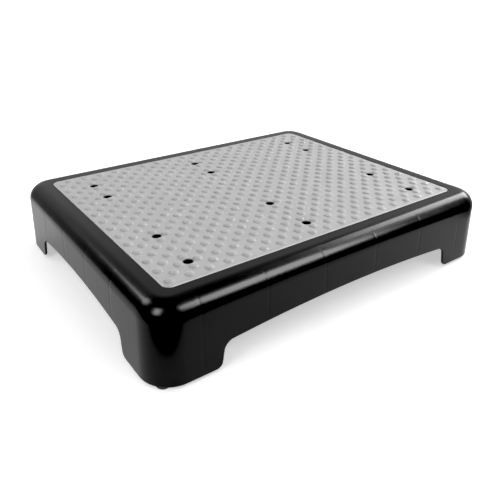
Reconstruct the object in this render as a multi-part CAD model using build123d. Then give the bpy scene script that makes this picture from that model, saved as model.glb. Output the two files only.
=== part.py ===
from build123d import *
import os
from math import cos, pi, radians, tan

# A low moulded plastic half step: one black moulding (deck, rounded rim, skirt
# and four corner legs, ribbed underneath), a pale studded rubber mat lying flush
# in a recess of the deck, and four rubber feet pressed into corner bosses.
# Millimetres. +Z up, the long edge along X, the front edge at -Y.
# The origin is the middle of the footprint, on the floor.

os.makedirs("parts", exist_ok=True)

# ---- driving dimensions -----------------------------------------------------
length = 501.0            # across the leg bottoms, along X
width = 401.0             # across the leg bottoms, along Y
body_height = 89.0        # leg bottoms to the rim
foot_height = 4.0         # how far the rubber feet lift the legs
draft = 0.8               # degrees, skirt narrows upwards
plan_radius = 34.5        # plan corner radius at the leg bottoms
rim_radius = 20.0         # big round between rim and skirt
wall = 3.0                # skirt wall

mat_length = 436.0
mat_width = 336.0
mat_radius = 9.0          # plan corner radius of the mat
mat_thickness = 3.0
mat_gap = 0.4             # clearance of the mat in its recess, each side
recess_depth = 3.0
deck_thickness = 3.5      # plastic left below the recess

rib_thickness = 2.4
rib_pitch_x = 79.0        # ribs that run along Y stand at +-0.5, 1.5, 2.5 pitches
rib_pitch_y = 69.5        # ribs that run along X stand at +-0.5, 1.5 pitches
rib_lift = 41.0           # lower edge of the ribs above the leg bottoms
leg_rib_lift = 10.0       # lower edge of the deep ribs inside the legs
leg_span_x = 74.5         # how far a leg reaches along X at its bottom
leg_span_y = 73.5         # and along Y

arch_end = 28.0           # skirt edge above the leg bottoms, beside a leg
arch_mid = 35.5           # and in the middle of a side
leg_slope = 4.5           # the leg's inner edge leans by this much up to the arch
arch_fillet = 12.0        # concave round between leg and arch
toe_fillet = 8.0          # convex round at the leg's lower inner corner

hole_pitch_x = 11.58      # half pitch of the stud pattern, which the holes follow
hole_pitch_y = 11.65
hole_cols = (-15, -1, 15)             # in half pitches from the middle
hole_rows = (-11.5, -5.5, 6.5, 10.5)
mat_hole_r = 5.5
deck_hole_r = 4.5
deck_collar_r = 8.0       # short collar under each deck hole
deck_collar_h = 5.0

foot_r = 8.0
foot_edge = 1.2           # round on the foot's lower edge
stem_r = 3.9
stem_length = 12.0
boss_r = 9.0
boss_height = 34.0        # boss above the leg bottoms
boss_bore_r = 4.0
boss_bore_depth = 13.0
foot_reach = 25.2         # from the plan corner's centre out to the foot's axis

# ---- derived ----------------------------------------------------------------
z_leg = foot_height
z_top = foot_height + body_height
z_recess = z_top - recess_depth
z_under = z_recess - deck_thickness
hx, hy = length / 2, width / 2
holes = [(c * hole_pitch_x, r * hole_pitch_y) for c in hole_cols for r in hole_rows]
k = cos(pi / 4)
foot_x = hx - plan_radius + foot_reach * k
foot_y = hy - plan_radius + foot_reach * k
feet = {
    "foot_front_left": (-foot_x, -foot_y),
    "foot_front_right": (foot_x, -foot_y),
    "foot_back_left": (-foot_x, foot_y),
    "foot_back_right": (foot_x, foot_y),
}


def drafted(lx, ly, r, z0, height):
    """Rounded rectangle drawn at z0, raised by height and narrowing upwards."""
    s = Plane.XY.offset(z0) * RectangleRounded(lx, ly, r)
    return extrude(s, amount=height, taper=draft)


def slab(x0, x1, y0, y1, z0, z1):
    return Pos((x0 + x1) / 2, (y0 + y1) / 2, (z0 + z1) / 2) * Box(x1 - x0, y1 - y0, z1 - z0)


def arch_profile(half_leg_gap):
    """Outline of the cut-out between two legs, in a plane of (across, up)."""
    toe = half_leg_gap
    top = half_leg_gap - leg_slope
    z_end = z_leg + arch_end
    z_mid = z_leg + arch_mid
    side_r = Line((toe, z_leg), (top, z_end))
    over = ThreePointArc((top, z_end), (0, z_mid), (-top, z_end))
    side_l = Line((-top, z_end), (-toe, z_leg))
    down = Polyline((-toe, z_leg), (-toe - 12, z_leg), (-toe - 12, z_leg - 30),
                    (toe + 12, z_leg - 30), (toe + 12, z_leg), (toe, z_leg))
    face = make_face([side_r, over, side_l, down])
    vs = face.vertices()
    upper = [v for v in vs if abs(v.Y - z_end) < 0.01]
    face = fillet(upper, arch_fillet)
    toes = [v for v in face.vertices() if abs(v.Y - z_leg) < 0.01 and abs(abs(v.X) - toe) < 0.01]
    face = fillet(toes, toe_fillet)
    return face


# ---- the moulding -------------------------------------------------------------
outer = drafted(length, width, plan_radius, z_leg, body_height)
rim = [e for e in outer.edges() if e.center().Z > z_top - 0.01]
outer = fillet(rim, rim_radius)

cavity = drafted(length - 2 * wall, width - 2 * wall, plan_radius - wall, z_leg - 1,
                 z_under - z_leg + 1)
cav_top = [e for e in cavity.edges() if e.center().Z > z_under - 0.01]
cavity = fillet(cav_top, 12.0)

ribs = []
for n in (-2.5, -1.5, -0.5, 0.5, 1.5, 2.5):
    x = n * rib_pitch_x
    ribs.append(slab(x - rib_thickness / 2, x + rib_thickness / 2, -hy, hy,
                     z_leg + rib_lift, z_top))
for n in (-1.5, -0.5, 0.5, 1.5):
    y = n * rib_pitch_y
    ribs.append(slab(-hx, hx, y - rib_thickness / 2, y + rib_thickness / 2,
                     z_leg + rib_lift, z_top))
# deep ribs that stiffen each leg
rx = 2.5 * rib_pitch_x
ry = 2.5 * rib_pitch_y
for sx in (-1, 1):
    for sy in (-1, 1):
        y_in = sy * (hy - leg_span_y + 6)
        ribs.append(slab(sx * rx - rib_thickness / 2, sx * rx + rib_thickness / 2,
                         min(y_in, sy * hy), max(y_in, sy * hy), z_leg + leg_rib_lift, z_top))
        x_in = sx * (hx - leg_span_x + 6)
        ribs.append(slab(min(x_in, sx * hx), max(x_in, sx * hx),
                         sy * ry - rib_thickness / 2, sy * ry + rib_thickness / 2,
                         z_leg + leg_rib_lift, z_top))
for (fx, fy) in feet.values():
    ribs.append(Pos(fx, fy, z_leg + boss_height / 2) * Cylinder(boss_r, boss_height))
for (x, y) in holes:
    ribs.append(Pos(x, y, z_under - deck_collar_h / 2) * Cylinder(deck_collar_r, deck_collar_h))

pockets = cavity
for r in ribs:
    pockets = pockets - r

recess = extrude(Plane.XY.offset(z_recess) * RectangleRounded(
    mat_length + 2 * mat_gap, mat_width + 2 * mat_gap, mat_radius + mat_gap), amount=recess_depth + 1)

shell = outer - pockets - recess

front_arch = extrude(Plane.XZ * arch_profile(hx - leg_span_x), amount=width, both=True)
side_arch = extrude(Plane.YZ * arch_profile(hy - leg_span_y), amount=length, both=True)
shell = shell - front_arch - side_arch

for (x, y) in holes:
    shell = shell - Pos(x, y, z_under) * Cylinder(deck_hole_r, 30)
for (fx, fy) in feet.values():
    shell = shell - Pos(fx, fy, z_leg + boss_bore_depth / 2 - 1) * Cylinder(
        boss_bore_r, boss_bore_depth + 2)

# ---- the mat --------------------------------------------------------------------
mat = extrude(Plane.XY.offset(z_recess) * RectangleRounded(mat_length, mat_width, mat_radius),
              amount=mat_thickness)
for (x, y) in holes:
    mat = mat - Pos(x, y, z_recess) * Cylinder(mat_hole_r, 20)
top_edges = [e for e in mat.edges() if e.center().Z > z_recess + mat_thickness - 0.01]
mat = fillet(top_edges, 0.5)

# ---- the feet ---------------------------------------------------------------------
foot = Pos(0, 0, foot_height / 2) * Cylinder(foot_r, foot_height)
low = [e for e in foot.edges() if e.center().Z < 0.01]
foot = fillet(low, foot_edge)
foot = foot + Pos(0, 0, foot_height + stem_length / 2) * Cylinder(stem_r, stem_length)


def as_solid(shape):
    s = shape.solids()
    print(len(s), "solid(s), volume", round(sum(q.volume for q in s)))
    return s[0] if len(s) == 1 else Compound(s)


out = {"platform_shell": shell, "tread_mat": mat}
for name, (fx, fy) in feet.items():
    out[name] = Pos(fx, fy, 0) * foot
for name, shape in out.items():
    export_step(as_solid(shape), "parts/" + name + ".step")
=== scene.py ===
import math

import bmesh
import bpy
import numpy as np
from mathutils import Matrix, Vector
from mathutils.geometry import delaunay_2d_cdt


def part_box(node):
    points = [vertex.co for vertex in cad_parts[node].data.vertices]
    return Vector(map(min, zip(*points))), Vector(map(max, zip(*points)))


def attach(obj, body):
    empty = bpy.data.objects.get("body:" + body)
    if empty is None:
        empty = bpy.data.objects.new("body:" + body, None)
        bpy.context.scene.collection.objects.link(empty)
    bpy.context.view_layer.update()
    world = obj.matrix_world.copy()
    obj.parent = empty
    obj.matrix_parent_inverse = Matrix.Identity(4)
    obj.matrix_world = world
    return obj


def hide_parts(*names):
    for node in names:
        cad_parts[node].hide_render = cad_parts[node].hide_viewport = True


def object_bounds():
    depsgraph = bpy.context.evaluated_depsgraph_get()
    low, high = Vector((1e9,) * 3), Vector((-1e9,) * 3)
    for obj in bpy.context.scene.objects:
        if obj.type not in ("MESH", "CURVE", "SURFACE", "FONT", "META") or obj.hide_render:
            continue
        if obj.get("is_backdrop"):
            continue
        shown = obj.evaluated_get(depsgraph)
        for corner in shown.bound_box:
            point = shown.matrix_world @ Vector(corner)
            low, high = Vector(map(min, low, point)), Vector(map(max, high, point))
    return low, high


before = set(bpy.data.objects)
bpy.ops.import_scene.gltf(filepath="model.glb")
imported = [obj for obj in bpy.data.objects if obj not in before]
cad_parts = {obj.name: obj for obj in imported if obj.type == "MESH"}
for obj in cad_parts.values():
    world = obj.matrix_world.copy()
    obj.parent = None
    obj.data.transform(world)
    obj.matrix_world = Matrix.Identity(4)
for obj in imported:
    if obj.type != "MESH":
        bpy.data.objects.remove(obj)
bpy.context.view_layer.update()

scene = bpy.context.scene
scene.view_settings.view_transform = "Standard"
# the studio's contrast: deep blacks, paper just past white
scene.view_settings.use_curve_mapping = True
levels = scene.view_settings.curve_mapping
levels.black_level = (0.013, 0.013, 0.013)
levels.white_level = (0.92, 0.92, 0.92)
levels.update()

MM = 0.001
shell_lo, shell_hi = (np.array(p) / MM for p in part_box("platform_shell"))
mat_lo, mat_hi = (np.array(p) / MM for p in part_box("tread_mat"))

# ---- sizes, in millimetres, from the frame and as the moulding is drawn ---------
HX, HY = shell_hi[0], shell_hi[1]          # half size across the leg bottoms
Z_LEG, Z_TOP = shell_lo[2], shell_hi[2]
Z_RECESS = mat_lo[2]
Z_UNDER = Z_RECESS - 3.5
TD = math.tan(math.radians(0.8))           # draft of the skirt
R_PLAN = 34.5
R_RIM = 20.0
WALL = 3.0
R_EDGE = 0.8                               # round on the skirt's lower edges
CX, CY = HX - R_PLAN, HY - R_PLAN          # centres of the plan corners
GAP = 0.4
MX, MY = mat_hi[0], mat_hi[1]              # half size of the mat
R_MAT = 9.0
Z_ROUND = Z_TOP - R_RIM
ARCH_END, ARCH_MID = 28.0, 35.5
PITCH_X, PITCH_Y = 11.58, 11.65
COLS, ROWS = (-15, -1, 15), (-11.5, -5.5, 6.5, 10.5)
HOLES = [(c * PITCH_X, r * PITCH_Y) for c in COLS for r in ROWS]
RIBS_X = [n * 79.0 for n in (-2.5, -1.5, -0.5, 0.5, 1.5, 2.5)]
RIBS_Y = [n * 69.5 for n in (-1.5, -0.5, 0.5, 1.5)]


def smooth(t):
    t = min(1.0, max(0.0, t))
    return t * t * (3 - 2 * t)


def to_object(name, verts, faces, sharp=28.0):
    me = bpy.data.meshes.new(name)
    me.from_pydata([tuple(float(c) * MM for c in v) for v in verts], [], faces)
    me.validate()
    bm = bmesh.new()
    bm.from_mesh(me)
    bmesh.ops.recalc_face_normals(bm, faces=bm.faces)
    bm.to_mesh(me)
    bm.free()
    me.polygons.foreach_set("use_smooth", [True] * len(me.polygons))
    me.set_sharp_from_angle(angle=math.radians(sharp))
    o = bpy.data.objects.new(name, me)
    scene.collection.objects.link(o)
    return o


def combine(obj, other, how):
    """obj joined with, or cut by, other, which goes away."""
    mod = obj.modifiers.new("combine", "BOOLEAN")
    mod.operation, mod.solver, mod.object = how, "EXACT", other
    dg = bpy.context.evaluated_depsgraph_get()
    dg.update()
    me = bpy.data.meshes.new_from_object(obj.evaluated_get(dg))
    obj.modifiers.clear()
    old = obj.data
    obj.data = me
    bpy.data.meshes.remove(old)
    bpy.data.objects.remove(other)


# ---- the black moulding -----------------------------------------------------------
def side_stations(half, gap, marks):
    """Points along one side's lower edge: (along, z, normal into the wall)."""
    toe, top = gap, gap - 4.5
    z0, z1, zm = Z_LEG, Z_LEG + ARCH_END, Z_LEG + ARCH_MID
    big = (top ** 2 + (zm - z1) ** 2) / (2 * (zm - z1))
    slope = math.atan2(z1 - z0, toe - top)
    pts = []
    # leg bottom, then the toe's convex round, both at the low end of the side
    t_toe = 8.0 * math.tan(slope / 2)
    u0 = -toe - t_toe
    n = 7
    for i in range(n):
        pts.append((-half + (u0 - 0.6 + half) * i / (n - 1), z0, 0.0, 1.0))
    for i in range(9):
        a = slope * i / 8
        pts.append((u0 + 8.0 * math.sin(a), z0 + 8.0 - 8.0 * math.cos(a), -math.sin(a), math.cos(a)))
    end = math.asin(top / big)
    t_in = 12.0 * math.tan((slope - end) / 2)
    d = (math.cos(slope), math.sin(slope))
    a0 = pts[-1]
    p1 = (-top - d[0] * t_in, z1 - d[1] * t_in)
    for i in (1, 2):
        pts.append((a0[0] + (p1[0] - a0[0]) * i / 3, a0[1] + (p1[1] - a0[1]) * i / 3, -d[1], d[0]))
    c = (p1[0] + 12.0 * d[1], p1[1] - 12.0 * d[0])
    h_end = end - t_in / big
    for i in range(11):
        h = slope + (h_end - slope) * i / 10
        pts.append((c[0] - 12.0 * math.sin(h), c[1] + 12.0 * math.cos(h), -math.sin(h), math.cos(h)))
    # the long shallow arch up to the middle
    ua = pts[-1][0]
    for i in range(1, 26):
        u = ua + (0 - ua) * i / 25
        pts.append((u, zm - big + math.sqrt(big ** 2 - u ** 2), u / big, math.sqrt(1 - (u / big) ** 2)))
    pts = pts + [(-u, z, -nu, nz) for u, z, nu, nz in reversed(pts[:-1])]
    us = np.array([p[0] for p in pts])
    val = np.array(pts)
    for m in marks:
        keep = np.abs(us - m) > 4.6
        new = m + np.array([-3.8, -2.8, -2.0, -1.4, -0.9, -0.45, 0, 0.45, 0.9, 1.4, 2.0, 2.8, 3.8])
        rows = np.stack([np.interp(new, us, val[:, j]) for j in range(4)], 1)
        rows[:, 0] = new
        val = np.concatenate([val[keep], rows])
        val = val[np.argsort(val[:, 0])]
        us = val[:, 0]
    return [tuple(r) for r in val]


# each station: side or corner, which one, along or angle, z, normal, marks
FRONT_MARKS = RIBS_X
SIDE_MARKS = RIBS_Y
long_side = side_stations(CX, HX - 74.5, FRONT_MARKS)
short_side = side_stations(CY, HY - 73.5, SIDE_MARKS)
NC = 18
stations = []
for s in range(4):
    side = long_side if s % 2 == 0 else short_side
    for st in side[:-1]:
        stations.append(("side", s) + st)
    # the corner after this side starts at the side's last station
    stations.append(("side", s) + side[-1])
    for i in range(1, NC):
        stations.append(("corner", s, i / NC * math.pi / 2, Z_LEG, 0.0, 1.0))
N = len(stations)
DIRS = [((1, 0), (0, -1)), ((0, 1), (1, 0)), ((-1, 0), (0, 1)), ((0, -1), (-1, 0))]  # along, outward


def place(st, z, depth, du=0.0, half=None, r=None):
    """The point of a station at height z, depth inside the outer face."""
    kind, s, a = st[:3]
    along, out = DIRS[s]
    hx_, hy_ = (HX, HY) if half is None else half
    rp = R_PLAN if r is None else r
    draft = (z - Z_LEG) * TD if half is None else 0.0
    out_half = hy_ if s % 2 == 0 else hx_
    end = (hx_ if s % 2 == 0 else hy_) - rp
    if kind == "side":
        u = a + du
        if half is not None:
            u *= end / (CX if s % 2 == 0 else CY)
        w = out_half - draft - depth
        return (along[0] * u + out[0] * w, along[1] * u + out[1] * w, z)
    rr = rp - draft - depth
    al, ow = end + rr * math.sin(a), out_half - rp + rr * math.cos(a)
    return (along[0] * al + out[0] * ow, along[1] * al + out[1] * ow, z)


def sink(st, z, t=90.0):
    """How far the skirt is drawn in where a rib meets it behind. t is the angle over the round."""
    if st[0] != "side":
        return 0.0
    u = st[2]
    best = 0.0
    for m in (FRONT_MARKS if st[1] % 2 == 0 else SIDE_MARKS):
        d = abs(u - m)
        if d > 6:
            continue
        in_leg = st[1] % 2 == 0 and abs(m) > 180
        low = 16.0 if in_leg else 45.0
        depth = 0.10 if in_leg else 0.15
        f = smooth((z - low + 5) / 8) * smooth((t - 22) / 16)
        best = max(best, depth * f * math.exp(-(d / 1.25) ** 2))
    return best


verts, faces = [], []


def ring(points):
    start = len(verts)
    verts.extend(points)
    return start


def skin(a, b):
    for k in range(N):
        j = (k + 1) % N
        faces.append((a + k, a + j, b + j, b + k))


rings = []
rec = (MX + GAP, MY + GAP)
rings.append(ring([place(s, Z_RECESS, 0, half=rec, r=R_MAT + GAP) for s in stations]))
rings.append(ring([place(s, Z_RECESS + 0.5, 0, half=rec, r=R_MAT + GAP) for s in stations]))
rings.append(ring([place(s, Z_TOP - 0.7, 0, half=rec, r=R_MAT + GAP) for s in stations]))
for i in range(0, 4):
    a = i / 3 * math.pi / 2
    g = 0.45 * (1 - math.cos(a))
    rings.append(ring([place(s, Z_TOP - 0.45 + 0.45 * math.sin(a), 0, half=(rec[0] + g, rec[1] + g), r=R_MAT + GAP + g)
                       for s in stations]))
inner_rim = [np.array(place(s, Z_TOP, 0, half=(rec[0] + 0.45, rec[1] + 0.45), r=R_MAT + GAP + 0.45)) for s in stations]
T0 = (Z_ROUND - Z_LEG) * TD - (Z_TOP - Z_LEG) * TD      # the round starts from the drafted face at its own foot
outer_rim = [np.array(place(s, Z_TOP, R_RIM + T0)) for s in stations]
for f in (0.08, 0.5, 0.92):
    rings.append(ring([tuple(a + (b - a) * f) for a, b in zip(inner_rim, outer_rim)]))
for i in range(0, 25):
    t = i / 24 * 90.0
    a = math.radians(t)
    z = Z_ROUND + R_RIM * math.cos(a)
    dep = R_RIM * (1 - math.sin(a)) + (Z_ROUND - Z_LEG) * TD - (z - Z_LEG) * TD
    pts = []
    for s in stations:
        k = sink(s, z, t)
        pts.append(place(s, z - k * math.cos(a), dep + k * math.sin(a)))
    rings.append(ring(pts))
rows = 11
for i in range(rows + 1):
    pts = []
    for s in stations:
        e = R_EDGE + 0.5
        zb, zt = s[3] + s[5] * e, Z_ROUND - 0.7
        f = (i / rows) ** 1.15
        z = zt + (zb - zt) * f
        pts.append(place(s, z, sink(s, z), du=s[4] * e * f) if s[0] == "side" else place(s, z, 0))
    rings.append(ring(pts))
for i in range(5):
    a = i / 4 * math.pi / 2
    off, dep = R_EDGE * (1 - math.sin(a)), R_EDGE * (1 - math.cos(a))
    rings.append(ring([place(s, s[3] + s[5] * off, dep, du=s[4] * off) for s in stations]))
for i in range(5):
    a = math.pi / 2 - i / 4 * math.pi / 2
    off, dep = R_EDGE * (1 - math.sin(a)), WALL - R_EDGE * (1 - math.cos(a))
    rings.append(ring([place(s, s[3] + s[5] * off, dep, du=s[4] * off) for s in stations]))
z_in = Z_UNDER - 12.0
for i in range(1, 8):
    pts = []
    for s in stations:
        e = R_EDGE + 0.5
        zb, zt = s[3] + s[5] * e, z_in - 0.5
        f = 1 - ((i - 1) / 6)
        z = zt + (zb - zt) * f
        pts.append(place(s, z, WALL, du=s[4] * e * f))
    rings.append(ring(pts))
for i in range(0, 9):
    a = i / 8 * math.pi / 2
    z = z_in + 12.0 * math.sin(a)
    dep = WALL + 12.0 * (1 - math.cos(a)) + (z_in - Z_LEG) * TD - (z - Z_LEG) * TD
    rings.append(ring([place(s, z, dep) for s in stations]))
for a, b in zip(rings, rings[1:]):
    skin(a, b)
faces.append(tuple(range(rings[0], rings[0] + N)))
faces.append(tuple(range(rings[-1], rings[-1] + N)))
shell = to_object("platform_moulding", verts, faces)


def slab_profile(poly, axis, at, thick, name_verts, name_faces):
    """A flat plate whose outline is poly in (along, z), standing across at."""
    a = len(name_verts)
    n = len(poly)
    for side in (-0.5, 0.5):
        for u, z in poly:
            w = at + side * thick
            name_verts.append((w, u, z) if axis == "x" else (u, w, z))
    name_faces.append(tuple(range(a, a + n)))
    name_faces.append(tuple(range(a + n, a + 2 * n)))
    for i in range(n):
        j = (i + 1) % n
        name_faces.append((a + i, a + j, a + n + j, a + n + i))


def rib_outline(half, low, leg=None):
    """One rib seen face on: its foot hangs lower inside a leg, its top follows the round."""
    end = [(half - 1.5 - 0.55, low), (half - 1.5 - 0.97, 74.0), (half - 4.7 - 0.97, 83.6), (half - 10.97, 88.0)]
    if leg:
        zl_, ul = leg
        end = [(ul - 6.0, low), (ul - 1.5, low - 1.6), (ul, low - 6.0), (ul, zl_ + 1.5), (ul + 1.5, zl_), (half - 1.5, zl_)] + end[1:]
    return end + [(-u, z) for u, z in reversed(end)]


cross_x = ([], [])
for x in RIBS_X:
    leg = (Z_LEG + 10.0, HY - 73.5 + 6) if abs(x) > 180 else None
    slab_profile(rib_outline(HY, Z_LEG + 41.0, leg), "x", x, 2.4, *cross_x)
combine(shell, to_object("ribs_x", *cross_x), "UNION")
cross_y = ([], [])
for y in RIBS_Y:
    slab_profile(rib_outline(HX, Z_LEG + 41.0), "y", y, 2.4, *cross_y)
for sx in (-1, 1):
    for sy in (-1, 1):
        # the wall stands nearer here, where the plan corner begins
        y = sy * 2.5 * 69.5
        x_wall = CX + math.sqrt((R_PLAN - 0.97) ** 2 - (abs(y) + 1.2 - CY) ** 2)
        x_in = HX - 74.5 + 6
        o = [(x_in, Z_LEG + 11.5), (x_in + 1.5, Z_LEG + 10.0), (x_wall - 1.5, Z_LEG + 10.0), (x_wall - 1.5, 74.0),
             (x_wall - 4.7, 83.2), (x_wall - 10.5, 88.0), (x_in, 88.0)]
        slab_profile([(sx * u, z) for u, z in o], "y", y, 2.4, *cross_y)
combine(shell, to_object("ribs_y", *cross_y), "UNION")


def turned(profile, cx, cy, seg, vs, fs):
    """A closed solid of revolution about a vertical axis; profile is (r, z) from axis to axis."""
    base = len(vs)
    idx = []
    for r, z in profile:
        if r < 1e-6:
            idx.append([len(vs)])
            vs.append((cx, cy, z))
        else:
            idx.append(list(range(len(vs), len(vs) + seg)))
            for i in range(seg):
                a = 2 * math.pi * (i + 0.5) / seg
                vs.append((cx + r * math.cos(a), cy + r * math.sin(a), z))
    for p, q in zip(idx, idx[1:]):
        for i in range(seg):
            j = (i + 1) % seg
            if len(p) == 1 and len(q) > 1:
                fs.append((p[0], q[i], q[j]))
            elif len(q) == 1 and len(p) > 1:
                fs.append((p[i], q[0], p[j]))
            elif len(p) > 1 and len(q) > 1:
                fs.append((p[i], q[i], q[j], p[j]))


FEET = {}
for n_ in ("foot_front_left", "foot_front_right", "foot_back_left", "foot_back_right"):
    lo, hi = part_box(n_)
    FEET[n_] = ((lo.x + hi.x) / 2 / MM, (lo.y + hi.y) / 2 / MM)
posts = ([], [])
for (x, y) in FEET.values():
    turned([(0, Z_LEG + 0.02), (8.6, Z_LEG + 0.02), (8.85, Z_LEG + 0.15), (9.0, Z_LEG + 0.45), (9.0, Z_LEG + 34.0), (0, Z_LEG + 34.0)],
           x, y, 40, *posts)
for (x, y) in HOLES:
    turned([(0, Z_UNDER - 5), (7.5, Z_UNDER - 5), (7.85, Z_UNDER - 4.85), (8.0, Z_UNDER - 4.5), (8.0, Z_UNDER + 2), (0, Z_UNDER + 2)],
           x, y, 36, *posts)
combine(shell, to_object("posts", *posts), "UNION")
bores = ([], [])
for (x, y) in FEET.values():
    turned([(0, Z_LEG - 2), (4.0, Z_LEG - 2), (4.0, Z_LEG + 13.0), (0, Z_LEG + 13.0)], x, y, 32, *bores)
for (x, y) in HOLES:
    turned([(0, 60), (4.5, 60), (4.5, 100), (0, 100)], x, y, 36, *bores)
combine(shell, to_object("bores", *bores), "DIFFERENCE")
bm = bmesh.new()
bm.from_mesh(shell.data)
bmesh.ops.remove_doubles(bm, verts=bm.verts, dist=1e-6)
bmesh.ops.dissolve_degenerate(bm, dist=1e-7, edges=bm.edges)
bmesh.ops.delete(bm, geom=[e for e in bm.edges if not e.link_faces], context="EDGES")
for fill in (lambda e: bmesh.ops.holes_fill(bm, edges=e, sides=0), lambda e: bmesh.ops.edgeloop_fill(bm, edges=e)):
    rims = [e for e in bm.edges if len(e.link_faces) == 1]
    if rims:
        fill(rims)
bmesh.ops.recalc_face_normals(bm, faces=bm.faces)
print("shell", len(bm.verts), "verts", len(bm.faces), "faces",
      "open or branching edges", sum(1 for e in bm.edges if len(e.link_faces) != 2))
bm.to_mesh(shell.data)
bm.free()
shell.data.polygons.foreach_set("use_smooth", [True] * len(shell.data.polygons))
shell.data.set_sharp_from_angle(angle=math.radians(28))
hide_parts("platform_shell")
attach(shell, "root")

# ---- the studded mat -----------------------------------------------------------------
SEG = 4                                   # steps along each side of a cell
RINGN = 4 * SEG * 1
vs, fs = [], []
grid = {}


def gv(i, j):
    """Point of the fine grid, SEG steps to a cell."""
    if (i, j) not in grid:
        grid[(i, j)] = len(vs)
        vs.append(((i / SEG - 18.5) * PITCH_X, (j / SEG - 14.0) * PITCH_Y, Z_TOP))
    return grid[(i, j)]


hole_cells = {(c, int(r + 13.5)) for c in COLS for r in ROWS}
STUD_R, STUD_H = 5.35, 2.10
stud_profile = []                          # (radius, height) from the foot of the stud to its crown
cap_r = 5.2
for i in range(7):
    f = i / 6
    r = cap_r * math.cos(f * math.pi / 2 * 0.98)
    h = STUD_H * (1 - (r / cap_r) ** 2) ** 0.46 if f > 0 else 0.10
    stud_profile.append((r, max(h, 0.10)))
mat_bottom_holes = []
count = 0
for ci, c in enumerate(range(-18, 19)):
    for j in range(28):
        x0, y0 = c * PITCH_X, (j - 13.5) * PITCH_Y
        i0, j0 = ci * SEG, j * SEG
        border = [gv(i0 + k, j0) for k in range(SEG)] + [gv(i0 + SEG, j0 + k) for k in range(SEG)] + \
                 [gv(i0 + SEG - k, j0 + SEG) for k in range(SEG)] + [gv(i0, j0 + SEG - k) for k in range(SEG)]
        n = len(border)
        stud = (c % 2 == 0) == (j % 2 == 0)
        if (c, j) in hole_cells:
            # a rounded lip, then the wall of the hole
            prev = border
            wide = 2 * n
            rows_ = []
            for r, z in ((5.98, 0.0), (5.93, 0.02), (5.87, -0.05), (5.82, -0.25), (5.8, mat_lo[2] - Z_TOP)):
                row = []
                for k in range(wide):
                    a = -math.pi * 0.75 + 2 * math.pi * k / wide
                    row.append(len(vs))
                    vs.append((x0 + r * math.cos(a), y0 + r * math.sin(a), Z_TOP + z))
                rows_.append(row)
            for k in range(n):
                a_, b_ = border[k], border[(k + 1) % n]
                r0 = rows_[0]
                fs.append((a_, b_, r0[(2 * k + 2) % wide], r0[2 * k + 1], r0[2 * k]))
            for p, q in zip(rows_, rows_[1:]):
                for k in range(wide):
                    m = (k + 1) % wide
                    fs.append((p[k], p[m], q[m], q[k]))
            mat_bottom_holes.append(rows_[-1])
        elif stud:
            count += 1
            prev = border
            wide = 20
            first = []
            for k in range(wide):
                a = -math.pi * 0.75 + 2 * math.pi * k / wide
                first.append(len(vs))
                vs.append((x0 + STUD_R * math.cos(a), y0 + STUD_R * math.sin(a), Z_TOP))
            # border has n points and the stud's foot has wide: 4 to 5 on each side
            for q in range(4):
                bo = [border[(q * SEG + k) % n] for k in range(SEG + 1)]
                ri = [first[(q * 5 + k) % wide] for k in range(6)]
                for k in range(SEG):
                    if k == 1:
                        fs.append((bo[k], bo[k + 1], ri[3], ri[2], ri[1]))
                    else:
                        lo_ = k if k < 1 else k + 1
                        fs.append((bo[k], bo[k + 1], ri[lo_ + 1], ri[lo_]))
            prev = first
            for r, h in stud_profile:
                if r < 0.6:
                    break
                row = []
                for k in range(wide):
                    a = -math.pi * 0.75 + 2 * math.pi * k / wide
                    row.append(len(vs))
                    vs.append((x0 + r * math.cos(a), y0 + r * math.sin(a), Z_TOP + h))
                for k in range(wide):
                    m = (k + 1) % wide
                    fs.append((prev[k], prev[m], row[m], row[k]))
                prev = row
            top = len(vs)
            vs.append((x0, y0, Z_TOP + STUD_H))
            for k in range(wide):
                fs.append((prev[k], prev[(k + 1) % wide], top))
        else:
            fs.append(tuple(border))
# from the lattice out to the rounded outline, in one flat strip
nx, ny = 37 * SEG, 28 * SEG
edge_loop = [gv(i, 0) for i in range(nx)] + [gv(nx, j) for j in range(ny)] + \
            [gv(nx - i, ny) for i in range(nx)] + [gv(0, ny - j) for j in range(ny)]


def outline(half_x, half_y, r):
    out = []
    for q, (sx, sy) in enumerate(((1, -1), (1, 1), (-1, 1), (-1, -1))):
        cx_, cy_ = sx * (half_x - r), sy * (half_y - r)
        a0 = -math.pi / 2 + q * math.pi / 2
        for i in range(15):
            a = a0 + i / 14 * math.pi / 2
            out.append((cx_ + r * math.cos(a), cy_ + r * math.sin(a)))
        # the straight run to the next corner
        nsx, nsy = ((1, 1), (-1, 1), (-1, -1), (1, -1))[q]
        a1 = a0 + math.pi / 2
        p = out[-1]
        e = (nsx * (half_x - r) + r * math.cos(a1), nsy * (half_y - r) + r * math.sin(a1))
        m = 36 if q % 2 else 28
        for i in range(1, m):
            out.append((p[0] + (e[0] - p[0]) * i / m, p[1] + (e[1] - p[1]) * i / m))
    return out


R_TOP = 0.9
flat = outline(MX - R_TOP, MY - R_TOP, R_MAT - R_TOP)
o0 = len(vs)
vs.extend((x, y, Z_TOP) for x, y in flat)
outer_ids = list(range(o0, o0 + len(flat)))
pts2 = [Vector((vs[i][0], vs[i][1])) for i in outer_ids] + [Vector((vs[i][0], vs[i][1])) for i in edge_loop]
ne, no = len(edge_loop), len(outer_ids)
tri_v, _, tri_f, orig, _, _ = delaunay_2d_cdt(
    pts2, [(i, (i + 1) % no) for i in range(no)] + [(no + i, no + (i + 1) % ne) for i in range(ne)], [], 0, 1e-6)
ids = outer_ids + edge_loop
back = [ids[o[0]] for o in orig]
lim_x, lim_y = 18.5 * PITCH_X - 1e-3, 14.0 * PITCH_Y - 1e-3


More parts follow.
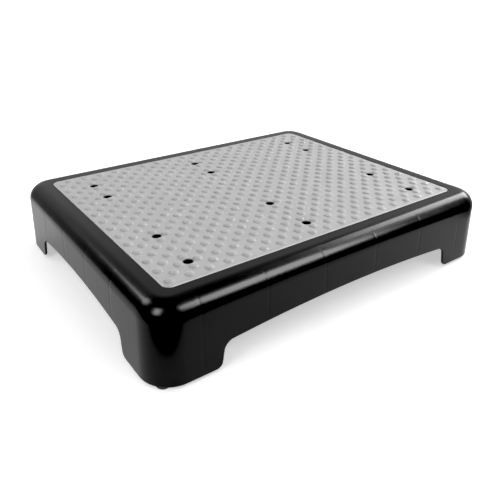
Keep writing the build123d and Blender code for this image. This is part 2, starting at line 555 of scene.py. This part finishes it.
def in_outline(x, y):
    hx_, hy_, r = MX - R_TOP, MY - R_TOP, R_MAT - R_TOP
    dx, dy = max(0.0, abs(x) - (hx_ - r)), max(0.0, abs(y) - (hy_ - r))
    return math.hypot(dx, dy) <= r + 1e-6


for f in tri_f:
    cx_ = sum(tri_v[i][0] for i in f) / 3
    cy_ = sum(tri_v[i][1] for i in f) / 3
    if (abs(cx_) > lim_x or abs(cy_) > lim_y) and in_outline(cx_, cy_):
        fs.append(tuple(back[i] for i in f))
prev = outer_ids
for i in range(1, 6):
    a = i / 5 * math.pi / 2
    g = R_TOP * math.sin(a)
    row = list(range(len(vs), len(vs) + no))
    vs.extend((x, y, Z_TOP - R_TOP * (1 - math.cos(a))) for x, y in outline(MX - R_TOP + g, MY - R_TOP + g, R_MAT - R_TOP + g))
    for k in range(no):
        m = (k + 1) % no
        fs.append((prev[k], prev[m], row[m], row[k]))
    prev = row
row = list(range(len(vs), len(vs) + no))
vs.extend((x, y, mat_lo[2]) for x, y in outline(MX, MY, R_MAT))
for k in range(no):
    m = (k + 1) % no
    fs.append((prev[k], prev[m], row[m], row[k]))
# the flat back, with the twelve holes left open
loops = [row] + mat_bottom_holes
pts2, eds, ids = [], [], []
for lp in loops:
    b = len(pts2)
    pts2 += [Vector((vs[i][0], vs[i][1])) for i in lp]
    eds += [(b + i, b + (i + 1) % len(lp)) for i in range(len(lp))]
    ids += lp
tri_v, _, tri_f, orig, _, _ = delaunay_2d_cdt(pts2, eds, [], 1, 1e-6)
for f in tri_f:
    cx_ = sum(tri_v[i][0] for i in f) / 3
    cy_ = sum(tri_v[i][1] for i in f) / 3
    if any(math.hypot(cx_ - x, cy_ - y) < 5.75 for x, y in HOLES):
        continue
    fs.append(tuple(ids[orig[i][0]] for i in f))
mat = to_object("studded_mat", vs, fs, sharp=40.0)
bm = bmesh.new()
bm.from_mesh(mat.data)
print("mat", count, "studs", len(bm.verts), "verts", len(bm.faces), "faces",
      "open or branching edges", sum(1 for e in bm.edges if len(e.link_faces) != 2))
bm.free()
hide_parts("tread_mat")
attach(mat, "root")

# ---- the feet ------------------------------------------------------------------------
feet = []
for n_, (x, y) in FEET.items():
    v_, f_ = [], []
    prof = [(0, 0.0), (5.6, 0.0), (6.6, 0.0)]
    prof += [(6.8 + 1.2 * math.sin(i / 6 * math.pi / 2), 1.2 - 1.2 * math.cos(i / 6 * math.pi / 2)) for i in range(7)]
    prof += [(8.0, 2.0), (8.0, 3.2), (7.92, 3.62), (7.66, 3.9), (7.3, 3.98), (3.9, 3.98), (3.9, 15.0), (3.5, 15.8), (2.9, 16.0), (0, 16.0)]
    turned(prof, x, y, 48, v_, f_)
    o = to_object(n_ + "_pad", v_, f_, sharp=40.0)
    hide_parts(n_)
    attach(o, "root")
    feet.append(o)


# ---- materials ---------------------------------------------------------------------------
def node_material(name):
    m = bpy.data.materials.new(name)
    m.use_nodes = True
    nt = m.node_tree
    return m, nt, nt.nodes["Principled BSDF"]


def noise(nt, scale, detail=2.0, rough=0.5, vec=None, dist=0.0):
    n = nt.nodes.new("ShaderNodeTexNoise")
    n.inputs["Scale"].default_value = scale
    n.inputs["Detail"].default_value = detail
    n.inputs["Roughness"].default_value = rough
    n.inputs["Distortion"].default_value = dist
    if vec is not None:
        nt.links.new(vec, n.inputs["Vector"])
    return n.outputs["Fac"]


def ramp(nt, fac, lo, hi, a, b):
    r = nt.nodes.new("ShaderNodeMapRange")
    r.inputs["From Min"].default_value = lo
    r.inputs["From Max"].default_value = hi
    r.inputs["To Min"].default_value = a
    r.inputs["To Max"].default_value = b
    nt.links.new(fac, r.inputs["Value"])
    return r.outputs["Result"]


def grey_ramp(nt, fac, stops):
    r = nt.nodes.new("ShaderNodeValToRGB")
    el = r.color_ramp.elements
    while len(el) < len(stops):
        el.new(0.5)
    for e, (p, c) in zip(el, stops):
        e.position, e.color = p, (c[0], c[1], c[2], 1.0)
    nt.links.new(fac, r.inputs["Fac"])
    return r.outputs["Color"]


def bump(nt, height, strength, distance, under=None):
    b = nt.nodes.new("ShaderNodeBump")
    b.inputs["Strength"].default_value = strength
    b.inputs["Distance"].default_value = distance
    nt.links.new(height, b.inputs["Height"])
    if under is not None:
        nt.links.new(under, b.inputs["Normal"])
    return b.outputs["Normal"]


def stretched(nt, coord, scale):
    mp = nt.nodes.new("ShaderNodeMapping")
    mp.inputs["Scale"].default_value = scale
    nt.links.new(coord, mp.inputs["Vector"])
    return mp.outputs["Vector"]


# black moulded plastic: fine spark grain, drifting gloss, a little dust in the grain
plastic, nt, bs = node_material("black_moulded_plastic")
co = nt.nodes.new("ShaderNodeTexCoord").outputs["Object"]
bs.inputs["Specular IOR Level"].default_value = 0.155
bs.inputs["IOR"].default_value = 1.5
drift = noise(nt, 14.0, 3.0, 0.55, co)
grain = noise(nt, 2600.0, 2.0, 0.6, co)
flow = noise(nt, 60.0, 3.0, 0.6, stretched(nt, co, (1.0, 1.0, 0.25)))
nt.links.new(grey_ramp(nt, drift, [(0.30, (0.0030, 0.0030, 0.0032)), (0.70, (0.0062, 0.0062, 0.0064))]), bs.inputs["Base Color"])
mixr = nt.nodes.new("ShaderNodeMath")
mixr.operation = "ADD"
nt.links.new(ramp(nt, drift, 0.3, 0.7, 0.215, 0.25), mixr.inputs[0])
nt.links.new(ramp(nt, flow, 0.35, 0.65, -0.012, 0.012), mixr.inputs[1])
nt.links.new(mixr.outputs[0], bs.inputs["Roughness"])
nt.links.new(bump(nt, grain, 0.10, 0.00006, bump(nt, flow, 0.10, 0.0002)), bs.inputs["Normal"])

# pale grey rubber: matte, with moulding grain and faint blotches
rubber, nt, bs = node_material("pale_grey_rubber")
co = nt.nodes.new("ShaderNodeTexCoord").outputs["Object"]
bs.inputs["Specular IOR Level"].default_value = 0.24
bs.inputs["IOR"].default_value = 1.5
blotch = noise(nt, 22.0, 4.0, 0.6, co)
speck = noise(nt, 900.0, 3.0, 0.7, co)
grain = noise(nt, 1500.0, 3.0, 0.6, co)
mx = nt.nodes.new("ShaderNodeMath")
mx.operation = "MULTIPLY_ADD"
nt.links.new(speck, mx.inputs[0])
mx.inputs[1].default_value = 0.30
nt.links.new(ramp(nt, blotch, 0.25, 0.75, 0.2, 0.5), mx.inputs[2])
nt.links.new(grey_ramp(nt, mx.outputs[0], [(0.30, (0.405, 0.405, 0.407)), (0.70, (0.452, 0.452, 0.454))]), bs.inputs["Base Color"])
nt.links.new(ramp(nt, blotch, 0.3, 0.7, 0.38, 0.45), bs.inputs["Roughness"])
# the border band is painted paler: a painted highlight where the mat's rounded edge catches the light
sepm = nt.nodes.new("ShaderNodeSeparateXYZ")
nt.links.new(co, sepm.inputs[0])
near = []
for socket, half_size in (("X", MX), ("Y", MY)):
    ab = nt.nodes.new("ShaderNodeMath")
    ab.operation = "ABSOLUTE"
    nt.links.new(sepm.outputs[socket], ab.inputs[0])
    near.append(ramp(nt, ab.outputs[0], (half_size - 1.5) * MM, (half_size - 0.5) * MM, 0.0, 1.0))
edge_highlight_band = nt.nodes.new("ShaderNodeMath")
edge_highlight_band.operation = "MAXIMUM"
nt.links.new(near[0], edge_highlight_band.inputs[0])
nt.links.new(near[1], edge_highlight_band.inputs[1])
# painted highlight: near the border the base colour is mixed towards a paler grey
pale = nt.nodes.new("ShaderNodeMix")
pale.data_type = "RGBA"
nt.links.new(edge_highlight_band.outputs[0], pale.inputs["Factor"])
tone = bs.inputs["Base Color"].links[0].from_socket
nt.links.new(tone, pale.inputs["A"])
pale.inputs["B"].default_value = (0.66, 0.66, 0.66, 1.0)
# painted shade: deep in a hole the wall's colour is darkened towards black, standing in for the shade down there
depth = ramp(nt, sepm.outputs["Z"], (Z_TOP - 1.3) * MM, (Z_TOP - 0.5) * MM, 1.0, 0.0)
inner = nt.nodes.new("ShaderNodeMath")
inner.operation = "SUBTRACT"
inner.inputs[0].default_value = 1.0
nt.links.new(edge_highlight_band.outputs[0], inner.inputs[1])
deep = nt.nodes.new("ShaderNodeMath")
deep.operation = "MULTIPLY"
nt.links.new(depth, deep.inputs[0])
nt.links.new(inner.outputs[0], deep.inputs[1])
# painted shade in the holes: below the lip the colour is mixed towards near-black
hole_painted_shade = nt.nodes.new("ShaderNodeMix")
hole_painted_shade.data_type = "RGBA"
nt.links.new(deep.outputs[0], hole_painted_shade.inputs["Factor"])
nt.links.new(pale.outputs["Result"], hole_painted_shade.inputs["A"])
hole_painted_shade.inputs["B"].default_value = (0.03, 0.03, 0.03, 1.0)
nt.links.new(hole_painted_shade.outputs["Result"], bs.inputs["Base Color"])
nt.links.new(bump(nt, grain, 0.18, 0.00012), bs.inputs["Normal"])

# black foot rubber
foot_rubber, nt, bs = node_material("black_foot_rubber")
co = nt.nodes.new("ShaderNodeTexCoord").outputs["Object"]
bs.inputs["Specular IOR Level"].default_value = 0.4
blotch = noise(nt, 120.0, 3.0, 0.6, co)
grain = noise(nt, 1800.0, 2.0, 0.6, co)
nt.links.new(grey_ramp(nt, blotch, [(0.3, (0.018, 0.018, 0.018)), (0.7, (0.034, 0.034, 0.033))]), bs.inputs["Base Color"])
nt.links.new(ramp(nt, blotch, 0.3, 0.7, 0.55, 0.70), bs.inputs["Roughness"])
nt.links.new(bump(nt, grain, 0.25, 0.0001), bs.inputs["Normal"])

for o, m in [(shell, plastic), (mat, rubber)] + [(f, foot_rubber) for f in feet]:
    o.data.materials.clear()
    o.data.materials.append(m)
for n_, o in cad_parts.items():
    o.data.materials.clear()
    o.data.materials.append({"platform_shell": plastic, "tread_mat": rubber}.get(n_, foot_rubber))

# ---- floor -------------------------------------------------------------------------------
# a pale sheet, cut straight across in front of the near corner
fv = [(0.0, 0.0, 0.0)]
for i in range(120):
    a = 2 * math.pi * i / 120
    d = (math.cos(a), math.sin(a))
    r = 0.66
    for n_, lim in (((-0.588, -0.809), 0.352), ((0.94, -0.34), 0.43)):
        along = d[0] * n_[0] + d[1] * n_[1]
        if along > 0:
            r = min(r, lim / along)
    fv.append((r * d[0], r * d[1], 0.0))
me = bpy.data.meshes.new("floor")
me.from_pydata(fv, [], [(0, 1 + i, 1 + (i + 1) % 120) for i in range(120)])
floor = bpy.data.objects.new("floor", me)
scene.collection.objects.link(floor)
floor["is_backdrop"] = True
paper, nt, bs = node_material("floor_paper")
co = nt.nodes.new("ShaderNodeTexCoord").outputs["Object"]
tint = noise(nt, 6.0, 3.0, 0.5, co)
nt.links.new(grey_ramp(nt, tint, [(0.3, (0.88, 0.88, 0.88)), (0.7, (0.90, 0.90, 0.90))]), bs.inputs["Base Color"])
bs.inputs["Roughness"].default_value = 0.95
bs.inputs["Specular IOR Level"].default_value = 0.1
bs.inputs["Emission Color"].default_value = (1, 1, 1, 1)
bs.inputs["Emission Strength"].default_value = 0.46
me.materials.append(paper)

# ---- studio ------------------------------------------------------------------------------
world = bpy.data.worlds.new("studio")
scene.world = world
world.use_nodes = True
nt = world.node_tree
bg = nt.nodes["Background"]
out = nt.nodes["World Output"]
co = nt.nodes.new("ShaderNodeTexCoord").outputs["Generated"]
sep = nt.nodes.new("ShaderNodeSeparateXYZ")
nt.links.new(co, sep.inputs[0])
dot = nt.nodes.new("ShaderNodeVectorMath")
dot.operation = "DOT_PRODUCT"
nt.links.new(co, dot.inputs[0])
dot.inputs[1].default_value = (math.cos(math.radians(52)), math.sin(math.radians(52)), 0.0)
rear = nt.nodes.new("ShaderNodeMapRange")
rear.interpolation_type = "SMOOTHSTEP"
rear.inputs["From Min"].default_value = 0.14
rear.inputs["From Max"].default_value = 0.72
rear.inputs["To Min"].default_value = 0.0
rear.inputs["To Max"].default_value = 1.0
nt.links.new(dot.outputs["Value"], rear.inputs["Value"])
lift = nt.nodes.new("ShaderNodeValToRGB")
el = lift.color_ramp.elements
el[0].position, el[0].color = 0.0, (0.55, 0.55, 0.55, 1)
el[1].position, el[1].color = 1.0, (0.42, 0.42, 0.42, 1)
for p, c in ((0.30, 0.68), (0.42, 0.74), (0.49, 0.98), (0.66, 0.36)):
    e = el.new(p)
    e.color = (c, c, c, 1)
nt.links.new(sep.outputs["Z"], lift.inputs["Fac"])
mul = nt.nodes.new("ShaderNodeMath")
mul.operation = "MULTIPLY"
nt.links.new(rear.outputs["Result"], mul.inputs[0])
nt.links.new(lift.outputs["Color"], mul.inputs[1])
add = nt.nodes.new("ShaderNodeMath")
add.operation = "ADD"
nt.links.new(mul.outputs[0], add.inputs[0])
add.inputs[1].default_value = 0.12
over = nt.nodes.new("ShaderNodeMapRange")
over.interpolation_type = "SMOOTHSTEP"
over.inputs["From Min"].default_value = 0.70
over.inputs["From Max"].default_value = 0.93
over.inputs["To Min"].default_value = 0.0
over.inputs["To Max"].default_value = 0.30
nt.links.new(sep.outputs["Z"], over.inputs["Value"])
both = nt.nodes.new("ShaderNodeMath")
both.operation = "MAXIMUM"
nt.links.new(add.outputs[0], both.inputs[0])
nt.links.new(over.outputs["Result"], both.inputs[1])
nt.links.new(both.outputs[0], bg.inputs["Strength"])
bg.inputs["Color"].default_value = (1, 1, 1, 1)
white = nt.nodes.new("ShaderNodeBackground")
white.inputs["Color"].default_value = (1, 1, 1, 1)
white.inputs["Strength"].default_value = 1.0
path = nt.nodes.new("ShaderNodeLightPath")
mixw = nt.nodes.new("ShaderNodeMixShader")
nt.links.new(path.outputs["Is Camera Ray"], mixw.inputs[0])
nt.links.new(bg.outputs[0], mixw.inputs[1])
nt.links.new(white.outputs[0], mixw.inputs[2])
nt.links.new(mixw.outputs[0], out.inputs["Surface"])


SOFT_SHARE = 0.26


def softbox(name, az, el_, wide, high, radiance, dist=2.2, tilt=0.0, diffuse=True, glossy=True):
    """An area light seen from the middle of the deck at azimuth az, elevation el_, wide by high degrees."""
    if diffuse and glossy:                 # the scattered share is weaker than what the gloss mirrors, and stands behind it
        softbox(name + "_soft", az, el_, wide, high, radiance * SOFT_SHARE, dist * 1.06, tilt, glossy=False)
        diffuse = False
    a, e = math.radians(az), math.radians(el_)
    d = Vector((math.cos(a) * math.cos(e), math.sin(a) * math.cos(e), math.sin(e)))
    w = 2 * dist * math.tan(math.radians(wide / 2))
    h = 2 * dist * math.tan(math.radians(high / 2))
    light = bpy.data.lights.new(name, "AREA")
    light.shape = "RECTANGLE"
    light.size, light.size_y = w, h
    light.energy = radiance * math.pi * w * h
    o = bpy.data.objects.new(name, light)
    scene.collection.objects.link(o)
    z = d
    x = Vector((0, 0, 1)).cross(z).normalized()
    y = z.cross(x)
    rot = Matrix((x, y, z)).transposed() @ Matrix.Rotation(math.radians(tilt), 3, "Z")
    mw = rot.to_4x4()
    mw.translation = Vector((0, 0, 0.09)) + d * dist
    o.matrix_world = mw
    o.visible_camera = False
    o.visible_diffuse = diffuse
    o.visible_glossy = glossy
    return o


softbox("softbox_front_right", -55, 38, 27, 25, 22.0, diffuse=False)
softbox("softbox_right", 2, 32, 22, 34, 11.0)
softbox("softbox_between", -26, 42, 28, 16, 4.0)
softbox("softbox_back_left", 134, 40, 22, 20, 12.0)
softbox("softbox_left", -156, 35, 16, 26, 22.0)
softbox("softbox_behind", 12, 33, 40, 20, 6.4, glossy=False)
softbox("softbox_fill", -80, 42, 27, 25, 3.0, glossy=False)

# ---- camera ------------------------------------------------------------------------------
cam_data = bpy.data.cameras.new("camera")
cam = bpy.data.objects.new("camera", cam_data)
scene.collection.objects.link(cam)
cam_data.sensor_width = 36.0
cam_data.lens = 39.687
cam_data.shift_x = 0.032
cam_data.shift_y = -0.12
cam_data.clip_start = 0.01
cam_data.clip_end = 100.0
right = Vector((0.82118, -0.57067, -0.00072))
up = Vector((0.21511, 0.30837, 0.92662))
back_ = Vector((-0.52858, -0.76108, 0.37599))
m4 = Matrix((right, up, back_)).transposed().to_4x4()
m4.translation = Vector((-0.41901, -0.57018, 0.37420))
cam.matrix_world = m4
scene.camera = cam

lo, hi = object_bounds()
